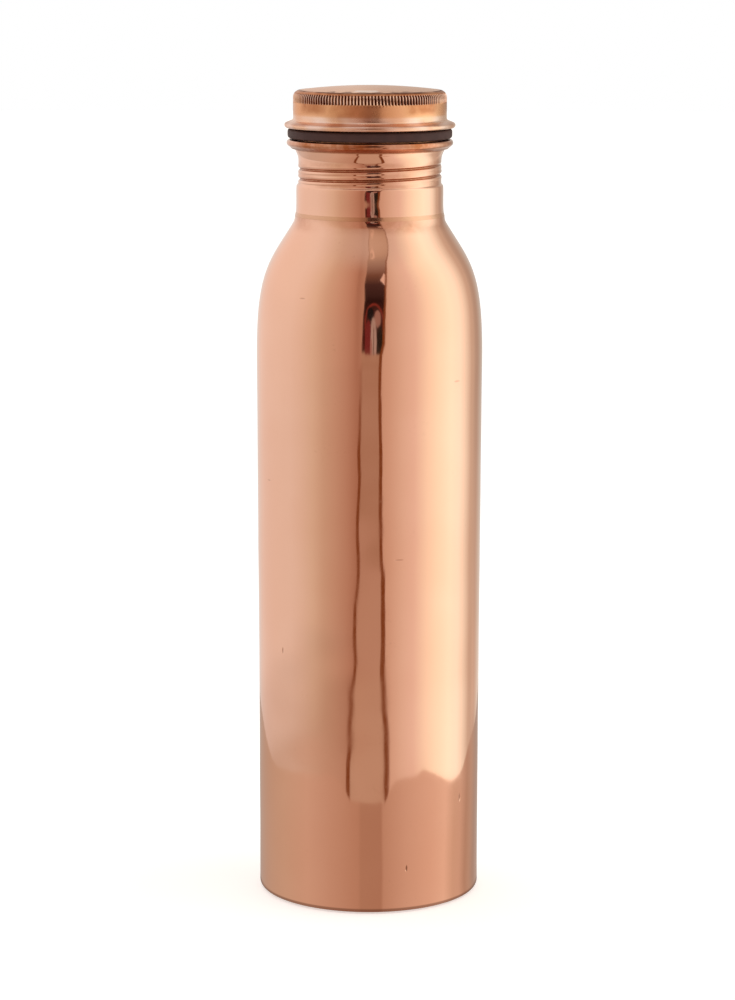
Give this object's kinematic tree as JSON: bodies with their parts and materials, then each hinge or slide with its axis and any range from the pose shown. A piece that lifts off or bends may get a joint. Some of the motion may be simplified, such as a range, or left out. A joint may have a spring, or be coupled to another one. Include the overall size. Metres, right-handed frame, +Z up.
{
  "type": "copper water bottle",
  "caption": "Tall spun copper water bottle with a sloping shoulder, a threaded neck with a rolled rim, a rubber gasket and a knurled screw lid.",
  "frame": {"origin": "centre of the foot, on the surface that the bottle stands on", "axes": "+Z up along the bottle's axis, which is also the axis that the lid unscrews about; the shape is turned, so X and Y are any two level directions"},
  "size_m": [0.075, 0.075, 0.2703],
  "materials": {
    "copper": "polished copper, lacquered, with fine handling scratches",
    "lid_copper": "polished copper with a light golden-brown tarnish",
    "braze": "dull brazing metal, darkened by heat",
    "gasket_rubber": "dark brown rubber, satin"
  },
  "bodies": {
    "bottle": {"body_shell": "copper", "base_plate": "copper", "base_braze_ring": "braze", "neck_collar": "copper", "neck_braze_ring": "braze"},
    "seal": {"gasket": "gasket_rubber"},
    "lid": {"cap_shell": "lid_copper", "threaded_stem": "lid_copper", "stem_end_disc": "lid_copper", "stem_braze_ring": "braze"}
  },
  "joints": [
    {"name": "lid_lift", "type": "slide", "parent": "bottle", "child": "seal", "axis": [0, 0, 1], "range_m": [0, 0.0199]},
    {"name": "lid_turn", "type": "hinge", "parent": "seal", "child": "lid", "pos_m": [0, 0, 0.2566], "axis": [0, 0, 1], "range_deg": [0, 2160]}
  ],
  "couplings": [
    {"joint": "lid_lift", "follows": "lid_turn", "m_per_rad": 0.00052521}
  ]
}
